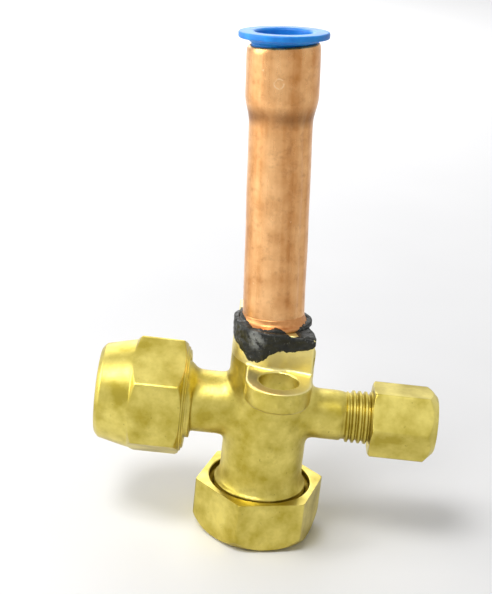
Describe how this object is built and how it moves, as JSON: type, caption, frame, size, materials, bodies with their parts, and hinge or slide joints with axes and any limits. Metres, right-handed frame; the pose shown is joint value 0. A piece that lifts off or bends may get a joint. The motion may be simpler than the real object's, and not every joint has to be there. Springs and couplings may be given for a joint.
{
  "type": "refrigerant service valve",
  "caption": "Forged brass angle service valve with flare union, capped stem, capped service port, two fixing lugs and a brazed copper tube closed by a blue plug.",
  "frame": {"origin": "centre of the stem cap's flat closed end, on the stem's axis", "axes": "+Z along the stem towards the copper tube, -X along the flare union, +X along the service port, -Y towards the front fixing lug"},
  "size_m": [0.0713, 0.0402, 0.108],
  "materials": {
    "forged_brass": "forged and bead-blasted brass, slightly matte",
    "turned_brass": "machined brass, satin",
    "copper": null,
    "braze_alloy": "silver-grey brazing alloy",
    "burnt_flux": "black glassy burnt flux with grey glints",
    "blue_plastic": "moulded blue polyethylene",
    "seal_rubber": "black moulded rubber",
    "seal_plastic": "white sealing plastic",
    "spring_steel": "spring steel"
  },
  "bodies": {
    "root": {"valve_body": "forged_brass", "stem_circlip": "spring_steel", "core_plug": "turned_brass", "core_gasket": "seal_plastic", "core_spring": "spring_steel", "copper_tube": "copper", "braze_fillet": "braze_alloy", "flux_crust": "burnt_flux"},
    "cap_advance": {"stem_cap_gasket": "seal_plastic"},
    "cap": {"stem_cap": "turned_brass"},
    "stem_advance": {"stem_o_ring_lower": "seal_rubber", "stem_o_ring_upper": "seal_rubber"},
    "stem": {"valve_stem": "turned_brass"},
    "nut_advance": {"flare_bonnet": "copper"},
    "nut": {"flare_nut": "turned_brass"},
    "service_advance": {"service_cap_gasket": "seal_plastic"},
    "service": {"service_cap": "turned_brass"},
    "core_pin": {"core_pin": "turned_brass", "core_poppet": "turned_brass", "core_poppet_seal": "seal_rubber"},
    "plug": {"tube_plug": "blue_plastic"}
  },
  "joints": [
    {"name": "cap_lift", "type": "slide", "parent": "root", "child": "cap_advance", "axis": [0, 0, -1], "range_m": [0, 0.009]},
    {"name": "cap_turn", "type": "hinge", "parent": "cap_advance", "child": "cap", "pos_m": [0, 0, 0], "axis": [0, 0, -1], "range_deg": [0, 2160]},
    {"name": "stem_rise", "type": "slide", "parent": "root", "child": "stem_advance", "axis": [0, 0, 1], "range_m": [0, 0.005]},
    {"name": "stem_turn", "type": "hinge", "parent": "stem_advance", "child": "stem", "pos_m": [0, 0, 0], "axis": [0, 0, 1], "range_deg": [0, 1200]},
    {"name": "nut_travel", "type": "slide", "parent": "root", "child": "nut_advance", "axis": [-1, 0, 0], "range_m": [0, 0.0127]},
    {"name": "nut_turn", "type": "hinge", "parent": "nut_advance", "child": "nut", "pos_m": [0, 0, 0.0282], "axis": [-1, 0, 0], "range_deg": [0, 2880]},
    {"name": "service_travel", "type": "slide", "parent": "root", "child": "service_advance", "axis": [1, 0, 0], "range_m": [0, 0.01016]},
    {"name": "service_turn", "type": "hinge", "parent": "service_advance", "child": "service", "pos_m": [0, 0, 0.0282], "axis": [1, 0, 0], "range_deg": [0, 2880]},
    {"name": "core_press", "type": "slide", "parent": "root", "child": "core_pin", "axis": [-1, 0, 0], "range_m": [0, 0.0013], "stiffness_N_per_m": 600, "springref_m": -0.002, "deforming": ["core_spring"]},
    {"name": "plug_pull", "type": "slide", "parent": "root", "child": "plug", "axis": [-0.0696, 0.0796, 0.9944], "range_m": [0, 0.012]}
  ],
  "couplings": [
    {"joint": "cap_lift", "follows": "cap_turn", "m_per_rad": 0.00023873},
    {"joint": "stem_rise", "follows": "stem_turn", "m_per_rad": 0.00023873},
    {"joint": "nut_travel", "follows": "nut_turn", "m_per_rad": 0.00025266},
    {"joint": "service_travel", "follows": "service_turn", "m_per_rad": 0.00020213}
  ]
}
